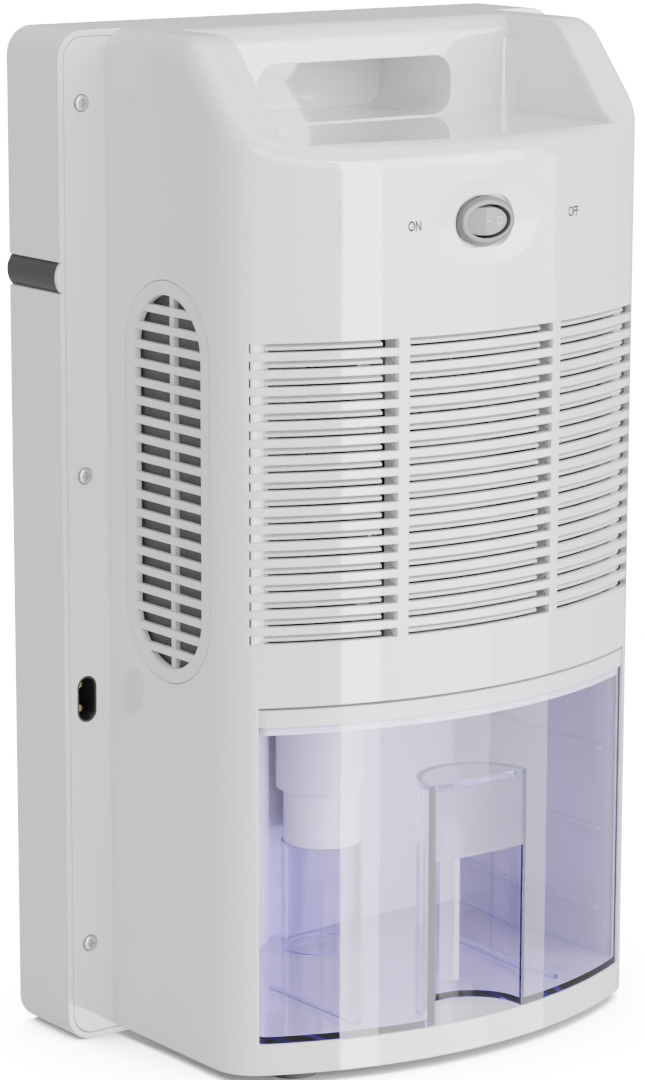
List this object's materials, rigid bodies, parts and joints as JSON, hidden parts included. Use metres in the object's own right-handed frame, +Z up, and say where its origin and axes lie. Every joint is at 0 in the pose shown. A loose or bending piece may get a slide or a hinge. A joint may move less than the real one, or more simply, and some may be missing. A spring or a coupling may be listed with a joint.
{
  "type": "dehumidifier",
  "caption": "Upright white dehumidifier with a curved louvred front, a rear slab, a hand recess on top, a rocker switch and a clear tank that slides out of the front.",
  "frame": {"origin": "middle of the footprint on the surface that the appliance stands on", "axes": "+Z up along the height, +Y towards the flat back, -Y out of the louvred front, +X to the right as seen from the front"},
  "size_m": [0.2202, 0.132, 0.36],
  "materials": {
    "white_housing": "glossy injection-moulded white ABS",
    "white_louvres": "satin moulded white ABS",
    "screen_dark": "dark woven dust screen",
    "black_band": "glossy black moulding",
    "clear_tank": "clear violet-tinted polycarbonate",
    "white_lid": "satin moulded white ABS",
    "frosted_plate": "frosted translucent plastic",
    "white_float": "matt expanded white plastic",
    "magnet": "plated magnet",
    "steel_screws": "zinc-plated steel",
    "inlet_body": "matt black nylon",
    "contact_brass": "bright brass",
    "switch_grey": "satin grey moulding",
    "rocker_grey": "matt grey moulding",
    "fan_black": "matt black glass-filled plastic",
    "fan_blade": "matt black plastic",
    "sink_aluminium": "plain extruded aluminium",
    "ceramic_white": "matt ceramic plates",
    "foam_grey": "closed-cell foam",
    "tray_plastic": "satin moulded plastic",
    "board_green": "solder-masked glass laminate",
    "transformer": "taped ferrite transformer",
    "capacitor_sleeve": "printed sleeve on an aluminium can",
    "sensor_black": "potted sensor",
    "foot_rubber": "moulded rubber"
  },
  "bodies": {
    "housing": {"rear_housing": "white_housing", "front_housing": "white_housing", "tank_bay": "white_housing", "side_grille_left": "white_housing", "side_grille_right": "white_housing", "front_louvres": "white_louvres", "side_screen_left": "screen_dark", "side_screen_right": "screen_dark", "side_bumper_left": "black_band", "side_bumper_right": "black_band", "housing_screws": "steel_screws", "inlet_socket": "inlet_body", "inlet_pins": "contact_brass", "switch_bezel": "switch_grey", "fan_frame": "fan_black", "fan_screws": "steel_screws", "hot_heatsink": "sink_aluminium", "cold_heatsink": "sink_aluminium", "peltier_module": "ceramic_white", "spacer_block": "sink_aluminium", "foam_gasket": "foam_grey", "clamp_screws": "steel_screws", "drip_tray": "tray_plastic", "power_board": "board_green", "power_transformer": "transformer", "smoothing_capacitors": "capacitor_sleeve", "regulator_sink": "sink_aluminium", "tank_sensor": "sensor_black", "front_feet": "foot_rubber"},
    "tank": {"water_tank": "clear_tank", "tank_lid": "white_lid", "tank_grip_plate": "frosted_plate"},
    "float": {"tank_float": "white_float", "float_magnet": "magnet"},
    "impeller": {"fan_impeller": "fan_blade"},
    "rocker": {"switch_rocker": "rocker_grey"}
  },
  "joints": [
    {"name": "tank_slide", "type": "slide", "parent": "housing", "child": "tank", "axis": [0, -1, 0], "range_m": [0, 0.125]},
    {"name": "float_rise", "type": "slide", "parent": "tank", "child": "float", "axis": [0, 0, 1], "range_m": [0, 0.02]},
    {"name": "fan_spin", "type": "hinge", "parent": "housing", "child": "impeller", "pos_m": [0, -0.04, 0.208], "axis": [0, 1, 0], "continuous": true},
    {"name": "switch_rock", "type": "hinge", "parent": "housing", "child": "rocker", "pos_m": [0, -0.061, 0.2975], "axis": [0, 0, 1], "range_deg": [0, 24]}
  ]
}
